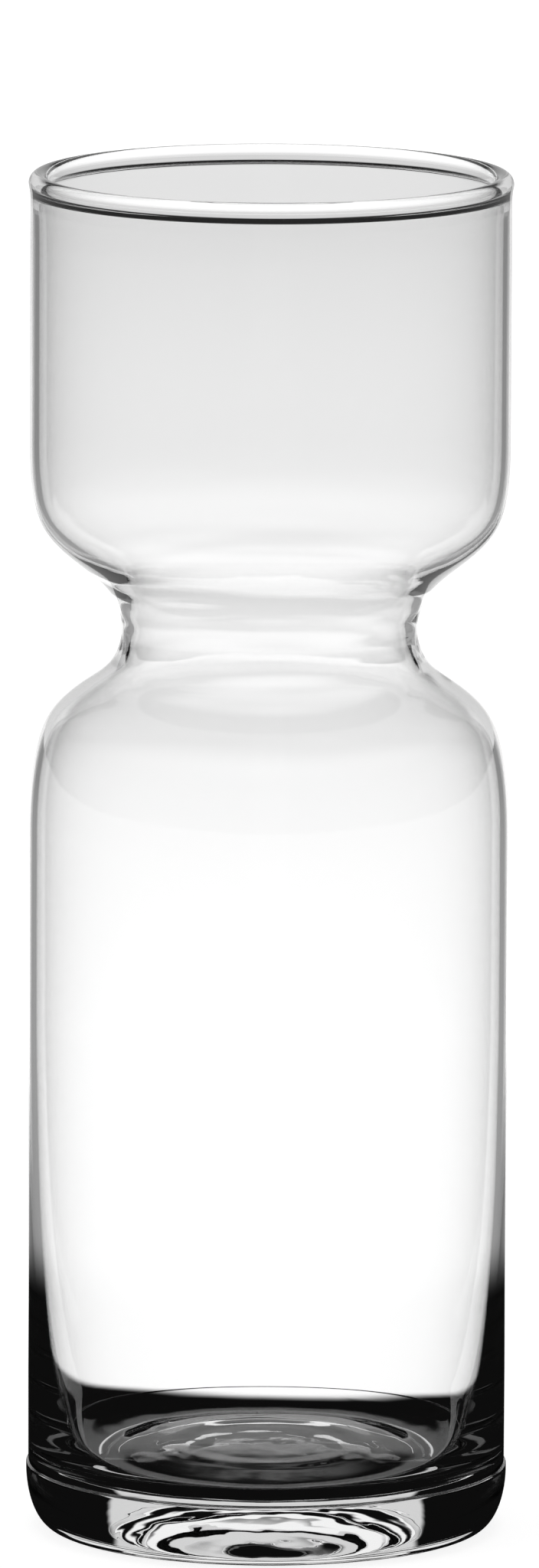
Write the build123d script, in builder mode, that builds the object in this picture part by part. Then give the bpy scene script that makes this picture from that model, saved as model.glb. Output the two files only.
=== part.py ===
"""Hyacinth forcing vase of clear blown glass: a cup that carries the bulb, a waist that the roots
pass, and a reservoir for the water, on a thick foot. Millimetres, +Z up, origin on the table
under the centre of the foot."""

from build123d import *
from math import cos, radians, sin
import os

# Rim and bulb cup
rim_top = 228.0  # height of the whole vase
bead_thickness = 3.3  # the fire-polished edge is a round bead
bead_proud = 0.3  # how far the bead stands out from the cup
cup_radius = 39.95
cup_wall = 1.45
cup_curve_height = 32.2  # from the waist up to where the cup becomes a plain cylinder

# Waist between the two chambers
waist_height = 151.8
waist_radius = 24.6
waist_wall = 1.9

# Water reservoir
shoulder_curve_height = 34.8  # from the waist down to where the reservoir becomes a plain cylinder
reservoir_radius = 40.05
reservoir_wall_thickness = 1.4
thickening_height = 85.0  # from here down the wall grows towards the heavy base

# Foot and base
foot_height = 10.8
foot_proud = 0.15  # the foot is this much wider than the reservoir
step_width = 0.35  # ledge at the foot's top, where the mould's base plate met its body
heel_land = 0.45  # upright stretch of the foot between its ledge and its rounded heel
heel_reach = 4.6  # how far in the heel curves before it meets the table
resting_ring_width = 1.0  # the flat edge that the vase stands on
punt_depth = 5.6  # hollow under the foot, inside the resting ring
punt_power = 2.4  # the hollow is flatter over the middle and steeper at the ring than a parabola, which is 2
base_thickness = 5.3  # glass between the hollow and the reservoir, on the axis
floor_dip = 1.0  # ring-shaped trough of the inner floor, below its middle
foot_zone_share = 0.4  # this much of the base thickness counts as foot, the rest as reservoir floor

# The wall from cup to waist, and from waist to reservoir: how far out, how high, how much it leans
# Out: 0 at the waist, 1 at the straight wall. Up: 0 at the waist's height, 1 where the straight wall starts
# Lean: degrees from upright, positive where the wall widens upwards
cup_curve_shares = [(0.971, 0.715, 8), (0.855, 0.529, 29), (0.514, 0.359, 52), (0.108, 0.174, 33)]
shoulder_curve_shares = [(0.122, 0.170, -37), (0.432, 0.281, -55), (0.798, 0.440, -31), (0.924, 0.603, -12)]
# The inside of the reservoir below the straight wall: how far out from the axis, how far above the trough
bowl_shares = [(0.996, 0.747), (0.986, 0.534), (0.966, 0.348), (0.942, 0.214), (0.913, 0.115)]
corner_shares = [(0.877, 0.052), (0.825, 0.0173), (0.750, 0.0013), (0.660, 0.0)]
# Its floor inside the trough: how far out from the axis, how much of the dip is made up
floor_shares = [(0.543, 0.45), (0.453, 0.80), (0.259, 0.95)]
joint_share = 0.32  # the waist's glass starts this far up or down its two curves

bead_radius = cup_radius + bead_proud
cup_bore = cup_radius - cup_wall
waist_bore = waist_radius - waist_wall
reservoir_bore = reservoir_radius - reservoir_wall_thickness
foot_radius = reservoir_radius + foot_proud
reservoir_foot_radius = foot_radius - step_width
contact_radius = foot_radius - heel_reach
punt_radius = contact_radius - resting_ring_width

bead_foot = rim_top - bead_thickness
cup_straight_foot = waist_height + cup_curve_height
cup_foot = waist_height + joint_share * cup_curve_height
waist_foot = waist_height - joint_share * shoulder_curve_height
shoulder_foot = waist_height - shoulder_curve_height
heel_height = foot_height - step_width - heel_land
floor_height = punt_depth + base_thickness
trough_height = floor_height - floor_dip
foot_zone_top = punt_depth + foot_zone_share * base_thickness
floor_zone_top = trough_height + (thickening_height - trough_height) * bowl_shares[3][1]


def curve_points(shares, radius, wall, straight_end):
    """Outer and inner points of the curve between the waist and one straight wall."""
    outer, inner = [], []
    for out_share, up_share, lean in shares:
        across = waist_radius + out_share * (radius - waist_radius)
        up = waist_height + up_share * (straight_end - waist_height)
        thickness = waist_wall + out_share * (wall - waist_wall)
        outer.append((across, up))
        inner.append((across - thickness * cos(radians(lean)), up + thickness * sin(radians(lean))))
    return outer, inner


cup_outer, cup_inner = curve_points(cup_curve_shares, cup_radius, cup_wall, cup_straight_foot)
shoulder_outer, shoulder_inner = curve_points(
    shoulder_curve_shares, reservoir_radius, reservoir_wall_thickness, shoulder_foot
)
outer_points = [
    (cup_radius, cup_straight_foot),
    *cup_outer,
    (waist_radius, waist_height),
    *shoulder_outer,
    (reservoir_radius, shoulder_foot),
]
inner_points = [
    (cup_bore, cup_straight_foot),
    *cup_inner,
    (waist_bore, waist_height),
    *shoulder_inner,
    (reservoir_bore, shoulder_foot),
]
bowl_points = [
    (reservoir_bore * out, trough_height + up * (thickening_height - trough_height))
    for out, up in bowl_shares + corner_shares
]
bowl_points += [(reservoir_bore * out, trough_height + up * floor_dip) for out, up in floor_shares]
punt_points = [(punt_radius * out, punt_depth * (1 - out**punt_power)) for out in (0.25, 0.5, 0.75)]
punt_edge = (punt_radius, -punt_power * punt_depth)  # direction of the hollow's surface at the ring

# Half section of the whole glass, from the axis outwards. The zones below are cut from it.
with BuildSketch() as half_section:
    with BuildLine():
        # Underside: hollow, flat ring, rounded heel and the mould step
        Spline((0, punt_depth), *punt_points, (punt_radius, 0), tangents=((1, 0), punt_edge))
        Line((punt_radius, 0), (contact_radius, 0))
        EllipticalCenterArc(
            (contact_radius, heel_height),
            foot_radius - contact_radius,
            heel_height,
            start_angle=270,
            arc_size=90,
        )
        Polyline(
            (foot_radius, heel_height),
            (foot_radius, foot_height - step_width),
            (reservoir_foot_radius, foot_height),
            (reservoir_radius, shoulder_foot),
        )
        # Outside, upwards over shoulder, waist and cup
        Spline(*reversed(outer_points), tangents=((0, 1), (0, 1)))
        Line((cup_radius, cup_straight_foot), (cup_radius, bead_foot))
        Line((cup_radius, bead_foot), (cup_bore, bead_foot))
        # Inside, down again to the floor
        Line((cup_bore, bead_foot), (cup_bore, cup_straight_foot))
        Spline(*inner_points, tangents=((0, -1), (0, -1)))
        Line((reservoir_bore, shoulder_foot), (reservoir_bore, thickening_height))
        Spline(
            (reservoir_bore, thickening_height),
            *bowl_points,
            (0, floor_height),
            tangents=((0, -1), (-1, 0)),
        )
        Line((0, floor_height), (0, punt_depth))
    make_face()


def glass_between(low, high):
    """Draws the part of the half section between two heights."""
    add(half_section.sketch)
    with Locations((0, low)):
        Rectangle(bead_radius + foot_radius, high - low, align=(Align.MIN, Align.MIN), mode=Mode.INTERSECT)


# Fire-polished rim: the cut edge melted back into a round bead, standing on the cup wall
with BuildPart() as rim_bead:
    with BuildSketch(Plane.XZ):
        with Locations((bead_radius - bead_thickness / 2, rim_top - bead_thickness / 2)):
            Circle(bead_thickness / 2)
        with Locations((cup_bore, bead_foot)):
            Rectangle(cup_wall, bead_thickness / 2, align=(Align.MIN, Align.MIN))
    revolve(axis=Axis.Z)
rim_bead.part.label = "rim_bead"

# Cup that the bulb sits in
with BuildPart() as bulb_cup:
    with BuildSketch(Plane.XZ):
        glass_between(cup_foot, bead_foot)
    revolve(axis=Axis.Z)
bulb_cup.part.label = "bulb_cup"

# Waist that holds the bulb above the water and lets its roots through
with BuildPart() as waist_collar:
    with BuildSketch(Plane.XZ):
        glass_between(waist_foot, cup_foot)
    revolve(axis=Axis.Z)
waist_collar.part.label = "waist_collar"

# Shoulder of the reservoir
with BuildPart() as reservoir_shoulder:
    with BuildSketch(Plane.XZ):
        glass_between(shoulder_foot, waist_foot)
    revolve(axis=Axis.Z)
reservoir_shoulder.part.label = "reservoir_shoulder"

# Wall of the reservoir
with BuildPart() as reservoir_wall:
    with BuildSketch(Plane.XZ):
        glass_between(floor_zone_top, shoulder_foot)
    revolve(axis=Axis.Z)
reservoir_wall.part.label = "reservoir_wall"

# Bowl-shaped floor of the reservoir, where the gather of glass stays thick, with the mould step around it
with BuildPart() as reservoir_floor:
    with BuildSketch(Plane.XZ):
        glass_between(foot_zone_top, floor_zone_top)
    revolve(axis=Axis.Z)
reservoir_floor.part.label = "reservoir_floor"

# Foot with its rounded heel, flat resting ring and the hollow inside the ring
with BuildPart() as foot_plate:
    with BuildSketch(Plane.XZ):
        glass_between(0, foot_zone_top)
    revolve(axis=Axis.Z)
foot_plate.part.label = "foot_plate"

os.makedirs("parts", exist_ok=True)
export_step(rim_bead.part, "parts/rim_bead.step")
export_step(bulb_cup.part, "parts/bulb_cup.step")
export_step(waist_collar.part, "parts/waist_collar.step")
export_step(reservoir_shoulder.part, "parts/reservoir_shoulder.step")
export_step(reservoir_wall.part, "parts/reservoir_wall.step")
export_step(reservoir_floor.part, "parts/reservoir_floor.step")
export_step(foot_plate.part, "parts/foot_plate.step")
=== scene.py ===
"""Looks of a hyacinth forcing vase: one body of clear blown glass, with a bulb cup, a waist, a water
reservoir and a thick foot. Metres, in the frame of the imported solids."""

import math

import bpy
import numpy as np
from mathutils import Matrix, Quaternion, Vector


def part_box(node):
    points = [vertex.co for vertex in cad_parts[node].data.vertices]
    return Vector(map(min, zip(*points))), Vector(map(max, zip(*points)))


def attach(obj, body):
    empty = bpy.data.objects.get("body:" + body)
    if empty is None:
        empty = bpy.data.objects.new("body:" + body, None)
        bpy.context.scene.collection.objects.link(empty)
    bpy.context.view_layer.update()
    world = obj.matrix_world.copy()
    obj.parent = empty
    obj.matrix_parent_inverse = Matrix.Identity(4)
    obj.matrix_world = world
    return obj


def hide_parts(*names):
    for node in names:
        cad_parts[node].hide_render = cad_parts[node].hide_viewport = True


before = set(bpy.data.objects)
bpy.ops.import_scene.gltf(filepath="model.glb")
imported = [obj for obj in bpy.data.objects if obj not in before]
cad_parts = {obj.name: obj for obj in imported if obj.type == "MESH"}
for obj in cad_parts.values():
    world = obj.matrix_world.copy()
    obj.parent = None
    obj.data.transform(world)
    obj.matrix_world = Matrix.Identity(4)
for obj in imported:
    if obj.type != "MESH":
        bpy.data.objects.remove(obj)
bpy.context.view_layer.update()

# The vase. One gather of soda-lime glass, blown into a two-chambered mould and fire-polished at the rim.
# The wall is thin in the cup, thicker at the waist and grows into a heavy base. Breath alone shaped its
# inside, so that it wanders slightly where the outside follows the mould.
mm = 0.001

# Foot, from the table up
foot_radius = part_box("reservoir_floor")[1][0]
contact_radius = foot_radius - 4.6 * mm  # where the rounded heel meets the table
punt_radius = contact_radius - 1.0 * mm  # inner edge of the ring that the vase rests on
punt_depth = 5.6 * mm  # hollow under the foot, inside that ring
punt_power = 2.4  # the hollow is flatter over the middle and steeper at the ring than a parabola, which is 2
heel_height = 10.0 * mm
foot_height = 10.8 * mm
ledge_width = 0.35 * mm  # at the foot's top, where the mould's base plate met its body
ledge_round = 0.3 * mm
ledge_radius = foot_radius - ledge_width

# Reservoir
floor_height = punt_depth + 5.3 * mm
floor_dip = 1.0 * mm  # ring-shaped trough of the floor, below its middle
trough_height = floor_height - floor_dip
thickening_height = 85.0 * mm  # from here down the wall grows towards the heavy base
reservoir_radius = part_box("reservoir_wall")[1][0]
reservoir_wall = 1.4 * mm
reservoir_bore = reservoir_radius - reservoir_wall
shoulder_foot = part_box("reservoir_wall")[1][2]

# Waist, cup and rim
waist_height = 151.8 * mm
waist_radius = 24.6 * mm
waist_wall = 1.9 * mm
cup_straight_foot = waist_height + 32.2 * mm
cup_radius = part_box("bulb_cup")[1][0]
cup_wall = 1.45 * mm
cup_bore = cup_radius - cup_wall
bead_low, bead_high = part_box("rim_bead")
rim_top = bead_high[2]
bead_half = (rim_top - bead_low[2]) / 2
bead_centre = (bead_high[0] - bead_half, rim_top - bead_half)
bead_outer_turn, bead_inner_turn = -10, 245  # degrees round the bead where the wall's faces run into it
outer_neck = (cup_radius, bead_low[2] - 0.8 * mm)  # where the faces start to swell towards the bead
inner_neck = (cup_bore, bead_low[2] - 0.3 * mm)

# The wall from cup to waist, and from waist to reservoir: how far out, how high, how much it leans
# Out: 0 at the waist, 1 at the straight wall. Up: 0 at the waist's height, 1 where the straight wall starts
# Lean: degrees from upright, positive where the wall widens upwards
cup_curve_shares = [(0.971, 0.715, 8), (0.855, 0.529, 29), (0.514, 0.359, 52), (0.108, 0.174, 33)]
shoulder_curve_shares = [(0.122, 0.170, -37), (0.432, 0.281, -55), (0.798, 0.440, -31), (0.924, 0.603, -12)]
# The inside of the reservoir below the straight wall: how far out from the axis, how far above the trough
bowl_shares = [(0.996, 0.747), (0.986, 0.534), (0.966, 0.348), (0.942, 0.214), (0.913, 0.115)]
corner_shares = [(0.877, 0.052), (0.825, 0.0173), (0.750, 0.0013), (0.660, 0.0)]
# Its floor inside the trough: how far out from the axis, how much of the dip is made up
floor_shares = [(0.543, 0.45), (0.453, 0.80), (0.259, 0.95)]


def line(start, end, count):
    """Points from start to end, without the last."""
    return [tuple(np.add(start, np.subtract(end, start) * step / count)) for step in range(count)]


def arc(centre, across, up, start, end, count):
    """Points round an upright ellipse, without the last. Degrees, 0 outwards and 90 up."""
    turns = [math.radians(start + (end - start) * step / count) for step in range(count)]
    return [(centre[0] + across * math.cos(t), centre[1] + up * math.sin(t)) for t in turns]


def spline(points, start, end, count):
    """Points along a cubic through all points, without the last, with its end directions given."""
    p = np.array(points)
    chord = np.linalg.norm(np.diff(p, axis=0), axis=1)
    system, right = np.eye(len(p)), np.zeros((len(p), 2))
    right[0], right[-1] = start, end
    for i in range(1, len(p) - 1):
        before, after = chord[i - 1], chord[i]
        system[i, i - 1 : i + 2] = after, 2 * (before + after), before
        right[i] = 3 * (after / before * (p[i] - p[i - 1]) + before / after * (p[i + 1] - p[i]))
    slope = np.linalg.solve(system, right)
    way = np.concatenate([[0], np.cumsum(chord)])
    result = []
    for place in np.arange(count) / count * way[-1]:
        i = min(int(np.searchsorted(way, place, "right")) - 1, len(chord) - 1)
        h, t = chord[i], (place - way[i]) / chord[i]
        result.append(
            tuple(
                (2 * t**3 - 3 * t**2 + 1) * p[i]
                + (t**3 - 2 * t**2 + t) * h * slope[i]
                + (3 * t**2 - 2 * t**3) * p[i + 1]
                + (t**3 - t**2) * h * slope[i + 1]
            )
        )
    return result


def curve_points(shares, radius, wall, straight_end):
    """Outer and inner points of the curve between the waist and one straight wall."""
    outer, inner = [], []
    for out_share, up_share, lean in shares:
        across = waist_radius + out_share * (radius - waist_radius)
        up = waist_height + up_share * (straight_end - waist_height)
        thickness = waist_wall + out_share * (wall - waist_wall)
        turn = math.radians(lean)
        outer.append((across, up))
        inner.append((across - thickness * math.cos(turn), up + thickness * math.sin(turn)))
    return outer, inner


def on_bead(degrees):
    """A point on the bead's round, and the direction in which the outline passes it."""
    turn = math.radians(degrees)
    point = (bead_centre[0] + bead_half * math.cos(turn), bead_centre[1] + bead_half * math.sin(turn))
    return point, (-math.sin(turn), math.cos(turn))


cup_outer, cup_inner = curve_points(cup_curve_shares, cup_radius, cup_wall, cup_straight_foot)
shoulder_outer, shoulder_inner = curve_points(
    shoulder_curve_shares, reservoir_radius, reservoir_wall, shoulder_foot
)
outer_points = [
    (cup_radius, cup_straight_foot),
    *cup_outer,
    (waist_radius, waist_height),
    *shoulder_outer,
    (reservoir_radius, shoulder_foot),
]
inner_points = [
    (cup_bore, cup_straight_foot),
    *cup_inner,
    (waist_radius - waist_wall, waist_height),
    *shoulder_inner,
    (reservoir_bore, shoulder_foot),
]
bowl_points = [
    (reservoir_bore * out, trough_height + up * (thickening_height - trough_height))
    for out, up in bowl_shares + corner_shares
]
bowl_points += [(reservoir_bore * out, trough_height + up * floor_dip) for out, up in floor_shares]
punt_points = [(punt_radius * out, punt_depth * (1 - out**punt_power)) for out in (0.25, 0.5, 0.75)]
punt_slope = math.atan2(-punt_power * punt_depth, punt_radius)
punt_edge = (math.cos(punt_slope), math.sin(punt_slope))
outer_meet, outer_way = on_bead(bead_outer_turn)
inner_meet, inner_way = on_bead(bead_inner_turn)

# The outside of the half section, from the axis under the foot to the top of the rim
outside = [
    *spline([(0, punt_depth), *punt_points, (punt_radius, 0)], (1, 0), punt_edge, 60),
    *line((punt_radius, 0), (contact_radius, 0), 3),
    *arc((contact_radius, heel_height), foot_radius - contact_radius, heel_height, 270, 360, 24),
    *line((foot_radius, heel_height), (foot_radius, foot_height - ledge_round), 2),
    *arc((foot_radius - ledge_round, foot_height - ledge_round), ledge_round, ledge_round, 0, 90, 4),
    (foot_radius - ledge_round, foot_height),
]
# Two short steps keep the ledge's shading from spreading up the wall
outside += [(ledge_radius, foot_height + up) for up in (0, 0.1 * mm)]
outside += [
    *line((ledge_radius, foot_height + 1 * mm), (reservoir_radius, shoulder_foot), 12),
    *spline(outer_points[::-1], (0, 1), (0, 1), 76),
    *line((cup_radius, cup_straight_foot), outer_neck, 6),
    *spline([outer_neck, outer_meet], (0, 1), outer_way, 6),
    *arc(bead_centre, bead_half, bead_half, bead_outer_turn, 90, 12),
]
# The inside, from the top of the rim down to the axis
inside = [
    *arc(bead_centre, bead_half, bead_half, 90, bead_inner_turn, 14),
    *spline([inner_meet, inner_neck], inner_way, (0, -1), 10),
    *line(inner_neck, (cup_bore, cup_straight_foot), 14),
    *spline(inner_points, (0, -1), (0, -1), 84),
    *line((reservoir_bore, shoulder_foot), (reservoir_bore, thickening_height), 14),
    *spline([(reservoir_bore, thickening_height), *bowl_points, (0, floor_height)], (0, -1), (-1, 0), 84),
    (0, floor_height),
]

outline = bpy.data.meshes.new("vase_outline")
outline.from_pydata(
    [(across, 0, up) for across, up in outside + inside],
    [(i, i + 1) for i in range(len(outside + inside) - 1)],
    [],
)
inner_side = outline.attributes.new("inner_side", "FLOAT", "POINT")
inner_side.data.foreach_set("value", [0.0] * len(outside) + [1.0] * len(inside))
vase_blank = bpy.data.objects.new("vase_blank", outline)
bpy.context.scene.collection.objects.link(vase_blank)


class Tree:
    """A node tree that is being filled in."""

    def __init__(self, tree):
        self.tree = tree

    def add(self, kind, settings=(), values=()):
        """Adds one node: its settings first, then the values or links of its sockets."""
        node = self.tree.nodes.new(kind)
        for name, setting in dict(settings).items():
            setattr(node, name, setting)
        for socket, value in dict(values).items():
            if isinstance(value, Field):
                self.tree.links.new(value.socket, node.inputs[socket])
            else:
                node.inputs[socket].default_value = value
        return Field(self, node.outputs[0], node) if node.outputs else None


class Field:
    """A value that varies over a surface. Arithmetic on it adds Math nodes to its tree."""

    def __init__(self, tree, socket, node):
        self.tree, self.socket, self.node = tree, socket, node

    def output(self, name):
        return Field(self.tree, self.node.outputs[name], self.node)

    def math(self, operation, *others):
        return self.tree.add("ShaderNodeMath", {"operation": operation}, dict(enumerate((self, *others))))

    def __add__(self, other):
        return self.math("ADD", other)

    def __mul__(self, other):
        return self.math("MULTIPLY", other)

    def __sub__(self, other):
        return self.math("SUBTRACT", other)

    def __rsub__(self, other):
        return self.math("MULTIPLY_ADD", -1.0, other)

    __radd__ = __add__
    __rmul__ = __mul__

    def at_least(self, other):
        return self.math("MAXIMUM", other)

    def at_most(self, other):
        return self.math("MINIMUM", other)

    def over(self, limit):
        return self.math("GREATER_THAN", limit)

    def ramp(self, start, end):
        """0 at start, 1 at end, eased and held beyond."""
        settings = {"interpolation_type": "SMOOTHERSTEP"}
        values = {"Value": self, "From Min": start, "From Max": end}
        return self.tree.add("ShaderNodeMapRange", settings, values)

    def between(self, rise, fall):
        """1 from the end of the rise to the start of the fall, eased to 0 on both sides."""
        return self.ramp(*rise) * (1 - self.ramp(*fall))


# The lathe's inputs: rings and segments of the surface, how high its waves are, and the noise's seed
blowing_sizes = {
    "Rings": len(outside + inside),
    "Segments": 232,
    "Wall wander": 0.05 * mm,
    "Waist ripple": 0.08 * mm,
    "Waist streak": 0.15 * mm,
    "Floor ripple": 0.11 * mm,
    "Punt ripple": 0.1 * mm,
    "Base wander": 0.05 * mm,
    "Seed": 4.0,
}
blowing = bpy.data.node_groups.new("blown_glass", "GeometryNodeTree")
blowing.interface.new_socket("Geometry", in_out="INPUT", socket_type="NodeSocketGeometry")
for name, size in blowing_sizes.items():
    kind = "NodeSocketInt" if isinstance(size, int) else "NodeSocketFloat"
    blowing.interface.new_socket(name, in_out="INPUT", socket_type=kind)
blowing.interface.new_socket("Material", in_out="INPUT", socket_type="NodeSocketMaterial")
blowing.interface.new_socket("Geometry", in_out="OUTPUT", socket_type="NodeSocketGeometry")

# A sheet of rings by segments takes each ring from the outline and is turned round the axis
lathe = Tree(blowing)
given = lathe.add("NodeGroupInput")
rings, segments = given.output("Rings"), given.output("Segments")
sheet = lathe.add("GeometryNodeMeshGrid", {}, {"Vertices X": segments + 1, "Vertices Y": rings})
place = lathe.add("GeometryNodeInputPosition")
place_parts = lathe.add("ShaderNodeSeparateXYZ", {}, {0: place})
x, y, z = (place_parts.output(axis) for axis in "XYZ")
inner = lathe.add("GeometryNodeInputNamedAttribute", {"data_type": "FLOAT"}, {"Name": "inner_side"})
turn = (x + 0.5) * math.tau
ring = ((y + 0.5) * (rings - 1)).math("ROUND")


def from_outline(data_type, value):
    """The outline's value at this point's ring."""
    values = {"Geometry": given.output("Geometry"), "Value": value, "Index": ring}
    return lathe.add("GeometryNodeSampleIndex", {"data_type": data_type}, values)


outline_place = lathe.add("ShaderNodeSeparateXYZ", {}, {0: from_outline("FLOAT_VECTOR", place)})
sided = lathe.add(
    "GeometryNodeStoreNamedAttribute",
    {"data_type": "FLOAT", "domain": "POINT"},
    {"Geometry": sheet, "Name": "inner_side", "Value": from_outline("FLOAT", inner)},
)
around = (outline_place * turn.math("COSINE"), outline_place * turn.math("SINE"), outline_place.output("Z"))
turned = lathe.add("ShaderNodeCombineXYZ", {}, dict(enumerate(around)))
lathed = lathe.add("GeometryNodeSetPosition", {}, {"Geometry": sided, "Position": turned})
closed = lathe.add("GeometryNodeMergeByDistance", {}, {"Geometry": lathed, "Distance": 0.001 * mm})

# Waves of the blown surface, along its normal. Each kind has its input, the place where it lies, and its
# noise: stretch, scale and offset
across = (x * x + y * y).math("SQRT")


def wander(stretch, scale, offset, detail=1.0):
    """Noise between -1 and 1 on the glass, stretched along the axes."""
    spread = lathe.add("ShaderNodeVectorMath", {"operation": "MULTIPLY"}, {0: place, 1: stretch})
    moved = lathe.add("ShaderNodeVectorMath", {"operation": "ADD"}, {0: spread, 1: offset})
    noise = lathe.add(
        "ShaderNodeTexNoise",
        {"noise_dimensions": "4D"},
        {"Vector": moved, "W": given.output("Seed"), "Scale": scale, "Detail": detail, "Roughness": 0.4},
    )
    return (noise - 0.5) * 2.0


on_wall = z.between((24 * mm, 50 * mm), (rim_top - 10 * mm, rim_top - 4 * mm))
on_waist = z.between((128 * mm, 142 * mm), (162 * mm, 182 * mm))
in_waist = z.between((138 * mm, 146 * mm), (158 * mm, 168 * mm))
in_base = 1 - z.ramp(20 * mm, 90 * mm)
on_floor = 1 - z.ramp(11 * mm, 12 * mm)
in_punt = z.between((1.5 * mm, 3.5 * mm), (6 * mm, 7 * mm)) * (1 - across.ramp(24 * mm, 31 * mm))
floor_ring_wave = 900  # radians of wave for each metre away from the axis
floor_rings = (across * floor_ring_wave).math("SINE") * across.ramp(6 * mm, 16 * mm)
waves = (
    ("Wall wander", inner * on_wall, wander((1, 1, 0.35), 22, (0, 0, 0))),
    ("Waist ripple", inner * on_waist, wander((0.25, 0.25, 1.6), 110, (3, 1, 5))),
    ("Waist streak", inner * in_waist, wander((0.2, 0.2, 1.5), 260, (1, 4, 8), detail=0.0)),
    ("Base wander", inner * in_base, wander((1, 1, 0.6), 20, (7, 2, 1))),
    ("Floor ripple", inner * on_floor, floor_rings + wander((1, 1, 1), 120, (2, 9, 4))),
    ("Punt ripple", (1 - inner) * in_punt, wander((1, 1, 1), 140, (5, 5, 2), detail=2.0)),
)
shifts = [where * wave * given.output(name) for name, where, wave in waves]
shift = sum(shifts[1:], shifts[0])
normal = lathe.add("GeometryNodeInputNormal")
push = lathe.add("ShaderNodeVectorMath", {"operation": "SCALE"}, {0: normal, "Scale": shift})
blown = lathe.add("GeometryNodeSetPosition", {}, {"Geometry": closed, "Offset": push})
smooth = lathe.add("GeometryNodeSetShadeSmooth", {}, {"Geometry": blown})
real = lathe.add("GeometryNodeRealizeInstances", {}, {"Geometry": smooth})
finished = lathe.add("GeometryNodeSetMaterial", {}, {"Geometry": real, "Material": given.output("Material")})
lathe.add("NodeGroupOutput", {}, {"Geometry": finished})

# Clear soda-lime glass with a fire-polished skin
clear_glass = bpy.data.materials.new("clear_glass")
clear_glass.use_nodes = True
clear_glass.node_tree.nodes.clear()
glass_nodes = Tree(clear_glass.node_tree)
soda_lime = {"Base Color": (1, 1, 1, 1), "Roughness": 0.0, "IOR": 1.52, "Transmission Weight": 1.0}
glass = glass_nodes.add("ShaderNodeBsdfPrincipled", {}, soda_lime)
glass_nodes.add("ShaderNodeOutputMaterial", {}, {"Surface": glass})

blow = vase_blank.modifiers.new("blow", "NODES")
blow.node_group = blowing
settings = {**blowing_sizes, "Material": clear_glass}
for item in blowing.interface.items_tree:
    if item.in_out == "INPUT" and item.name in settings:
        blow[item.identifier] = settings[item.name]
bpy.context.view_layer.update()
evaluated = vase_blank.evaluated_get(bpy.context.evaluated_depsgraph_get())
vase_mesh = bpy.data.meshes.new_from_object(evaluated)
vase_mesh.name = "vase_glass"
vase = bpy.data.objects.new("vase_glass", vase_mesh)
bpy.context.scene.collection.objects.link(vase)
bpy.data.objects.remove(vase_blank)
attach(vase, "root")
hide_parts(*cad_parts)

# Floor of the studio. The camera sees pale paper. Rays that have met the glass see painted light and shade
# on it:
# painted shade close round the foot, and a lit backdrop behind.
floor_reach = 6.0
floor_corners = [(-1, -1), (1, -1), (1, 1), (-1, 1)]
floor_mesh = bpy.data.meshes.new("studio_floor")
floor_mesh.from_pydata([(u * floor_reach, v * floor_reach, 0) for u, v in floor_corners], [], [(0, 1, 2, 3)])
studio_floor = bpy.data.objects.new("studio_floor", floor_mesh)
studio_floor.location.z = -0.2 * mm  # keeps it clear of the foot's resting ring
bpy.context.scene.collection.objects.link(studio_floor)


def glass_path(nodes):
    """The Light Path node, and of its ray: whether it met glass, whether it only crossed both walls, which
    is four crossings, and the share of light that is left after many mirrorings."""
    lost_light = 0.9
    path = nodes.add("ShaderNodeLightPath")
    crossings, mirrorings = path.output("Transmission Depth"), path.output("Glossy Depth")
    met = (path.output("Is Glossy Ray") + path.output("Is Transmission Ray")).at_most(1.0)
    crossed = crossings.over(3.5) * (1 - mirrorings.over(0.5))
    kept = 1 - mirrorings.over(3.5) * lost_light
    return path, met, crossed, kept


floor_paint = bpy.data.materials.new("studio_floor")
floor_paint.use_nodes = True
floor_paint.node_tree.nodes.clear()
floor_nodes = Tree(floor_paint.node_tree)
path, met, crossed, kept = glass_path(floor_nodes)
crossings, mirrorings = path.output("Transmission Depth"), path.output("Glossy Depth")
spot = floor_nodes.add("ShaderNodeTexCoord").output("Object")
spot_parts = floor_nodes.add("ShaderNodeSeparateXYZ", {}, {0: spot})
spot_x, spot_y = spot_parts.output("X"), spot_parts.output("Y")
away = (spot_x * spot_x + spot_y * spot_y).math("SQRT")
azimuth = spot_x.math("ARCTAN2", spot_y).math("ABSOLUTE") * math.degrees(1)  # degrees from straight behind

# The height at which the ray left the glass, from its length and its slant
slant = floor_nodes.add("ShaderNodeLayerWeight", {}, {"Blend": 0.5}).output("Facing")
left_at = path.output("Ray Length") * (1 - slant)
high = left_at.ramp(40 * mm, 52 * mm)
above_heel = left_at.ramp(6 * mm, 9 * mm)

# Painted shade round the foot, seen only in the glass: a dark patch, wider than it is deep and turned a
# little
shade_patch_turn = 0.12
shade_patch_squeeze = 0.6
shade_patch_reach = 50.5 * mm
shade_patch_x = spot_x * math.cos(shade_patch_turn) - spot_y * math.sin(shade_patch_turn)
shade_patch_y = spot_y * math.cos(shade_patch_turn) + spot_x * math.sin(shade_patch_turn)
from_middle = (shade_patch_x.math("ABSOLUTE") * shade_patch_squeeze).at_least(shade_patch_y.math("ABSOLUTE"))
off_shade_patch = from_middle.ramp(shade_patch_reach - 6 * mm, shade_patch_reach + 3 * mm)

# The lit backdrop: brightest near the vase, darker far off and where it is seen through the cup
near_light, far_light, fall_off = 1.2, 0.93, 0.335
cup_shade = 0.11
foot_light = 0.8  # the backdrop's share that is left low down, in the glass of the foot
through_cup = away.ramp(1.25, 1.85) * left_at.ramp(150 * mm, 170 * mm)
field = (1.36 - away * fall_off).at_most(near_light).at_least(far_light) - through_cup * cup_shade
behind = (1 - azimuth.ramp(17, 20)) * (foot_light + left_at.ramp(12 * mm, 20 * mm) * (1 - foot_light))
narrow = 1 - azimuth.ramp(15, 23)
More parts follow.
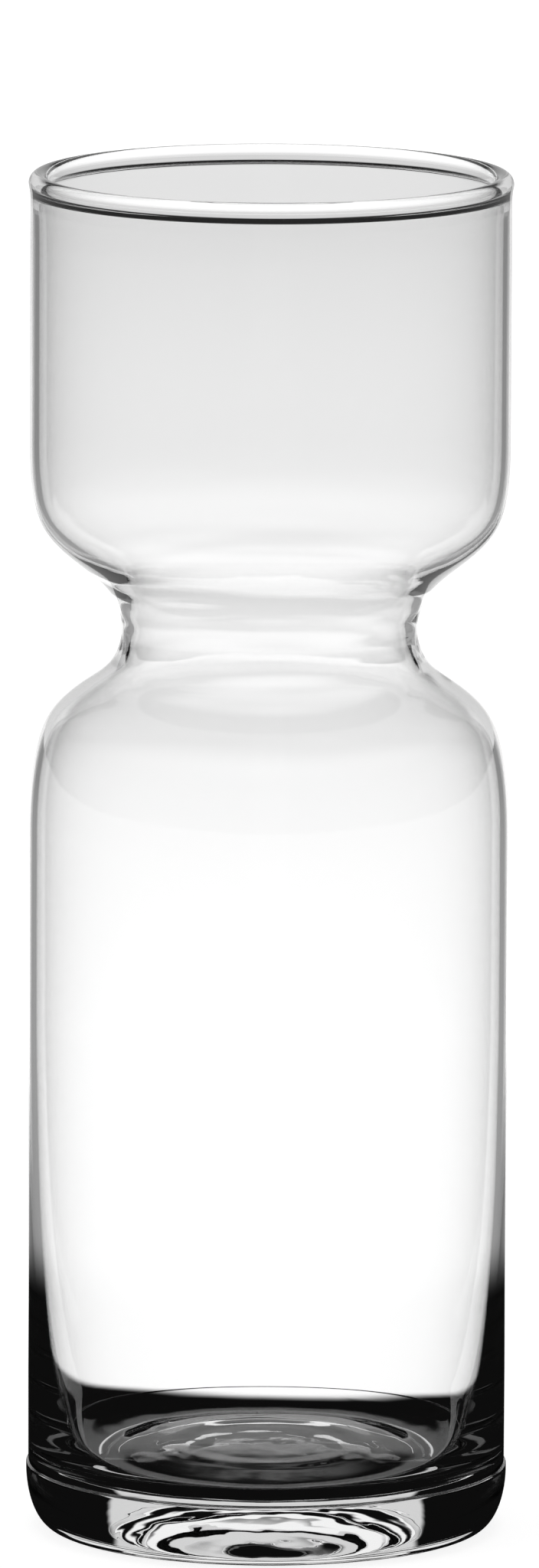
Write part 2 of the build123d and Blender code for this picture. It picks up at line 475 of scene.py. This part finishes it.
# Beside the backdrop, light for the upright edges of the glass, and most for rays that crossed one wall
edge = (1 - crossings.over(2.5)) * (1 - mirrorings.over(1.5))
edge_light = (edge * 0.3 + 0.03) * high
open_wall = crossings.over(1.5) * (1 - mirrorings.over(0.5)) * high
through_walls = (crossed * above_heel.at_least(narrow)).at_least(open_wall)
backdrop = field * through_walls.at_least((1 - crossed) * behind.at_least(edge_light))

# A mottled patch of light under the hollow, and a little stray light everywhere
noise = floor_nodes.add("ShaderNodeTexNoise", {}, {"Vector": spot, "Scale": 90.0, "Detail": 3.0})
dim_spots, bright_spots = 0.012, 0.1
mottle = dim_spots + noise.ramp(0.35, 0.68) * bright_spots
patch = crossed * (1 - away.ramp(8 * mm, 22 * mm)) * mottle
stray = 0.004
# The glass sees the backdrop, cut by the painted shade round the foot, with the patch of light and the stray
# light
seen_in_glass = backdrop * off_shade_patch.at_least(high) * kept + patch + stray

paper_glow = 1.14 + away.ramp(0.2, 1.2) * 0.25  # stronger further off, where the lamps don't reach
paper_white = (0.9, 0.9, 0.9, 1)
paper_share = 0.25  # of plain paper in the glowing floor, for the vase's shadow
through = floor_nodes.add("ShaderNodeEmission", {}, {"Color": seen_in_glass})
glow = floor_nodes.add("ShaderNodeEmission", {}, {"Color": paper_glow})
paper = floor_nodes.add("ShaderNodeBsdfDiffuse", {}, {"Color": paper_white})
pale_floor = floor_nodes.add("ShaderNodeMixShader", {}, {0: paper_share, 1: glow, 2: paper})
floor_surface = floor_nodes.add("ShaderNodeMixShader", {}, {0: met, 1: pale_floor, 2: through})
floor_nodes.add("ShaderNodeOutputMaterial", {}, {"Surface": floor_surface})
floor_mesh.materials.append(floor_paint)

# Studio round the vase. White paper for the camera and for rays that cross both walls, a lit band behind the
# vase for rays through the foot, and dark elsewhere, which draws the glass's edges.
world = bpy.data.worlds.new("studio")
bpy.context.scene.world = world
world.use_nodes = True
world.node_tree.nodes.clear()
world_nodes = Tree(world.node_tree)
path, met, crossed, kept = glass_path(world_nodes)
direction = world_nodes.add("ShaderNodeTexCoord").output("Generated")
direction_parts = world_nodes.add("ShaderNodeSeparateXYZ", {}, {0: direction})
way_x, way_y, way_z = (direction_parts.output(axis) for axis in "XYZ")
wall_light = 0.85  # through both walls
band_light = 0.7  # low behind the vase
sheen_light = 0.65  # from overhead, on the outside of the glass
on_paper = 0.5  # on plain surfaces
bearing = way_x.math("ARCTAN2", way_y).math("ABSOLUTE") * math.degrees(1)  # degrees from straight behind
band = (1 - bearing.ramp(28.5, 31)) * (1 - way_z.ramp(0.22, 0.36)) * band_light
mirrored_outside = 1 - path.output("Transmission Depth").over(0.5)
sheen = mirrored_outside * way_z.ramp(0.2, 0.6) * sheen_light
in_glass = crossed * wall_light + (1 - crossed) * band.at_least(sheen) * kept + stray
is_camera = path.output("Is Camera Ray")
studio_light = is_camera + (1 - is_camera) * (met * in_glass + (1 - met) * on_paper)
background = world_nodes.add("ShaderNodeBackground", {}, {"Color": studio_light})
world_nodes.add("ShaderNodeOutputWorld", {}, {"Surface": background})

# Two soft lamps over the floor, each a square panel aimed at the foot. They are hidden from rays in the
# glass, so that the vase mirrors only the floor and the studio.
for name, lamp_place, size, power in (
    ("overhead", (0, 0.1, 1.6), 1.0, 12.0),
    ("left", (-1.3, -0.9, 1.0), 0.8, 5.0),
):
    lamp = bpy.data.lights.new(name, "AREA")
    lamp.size = size
    lamp.energy = power
    lamp_object = bpy.data.objects.new(name, lamp)
    lamp_object.location = lamp_place
    lamp_object.visible_glossy = False
    lamp_object.visible_transmission = False
    lamp_object.rotation_euler = (-Vector(lamp_place)).to_track_quat("-Z", "Y").to_euler()
    bpy.context.scene.collection.objects.link(lamp_object)

# Camera, on a stand 3 m away, above the vase's mouth and looking down on it. It is rolled by the small lean
# at which the vase is seen, and its frame is as high as seen_height at the vase.
distance = 3.0
elevation = math.radians(9.25)
roll = math.radians(0.245)
target = Vector((0.0001, 0, 0.12542))
seen_height = 0.26118
sensor_width = 36
camera = bpy.data.cameras.new("camera")
camera.sensor_width = sensor_width
camera.lens = sensor_width * distance / seen_height
camera.clip_end = 50
camera_object = bpy.data.objects.new("camera", camera)
bpy.context.scene.collection.objects.link(camera_object)
camera_object.location = target + distance * Vector((0, -math.cos(elevation), math.sin(elevation)))
look = (target - camera_object.location).to_track_quat("-Z", "Y")
camera_object.rotation_euler = (look @ Quaternion((0, 0, 1), roll)).to_euler()
bpy.context.scene.camera = camera_object

scene = bpy.context.scene
scene.view_settings.view_transform = "Standard"
scene.cycles.max_bounces = scene.cycles.glossy_bounces = scene.cycles.transmission_bounces = 32
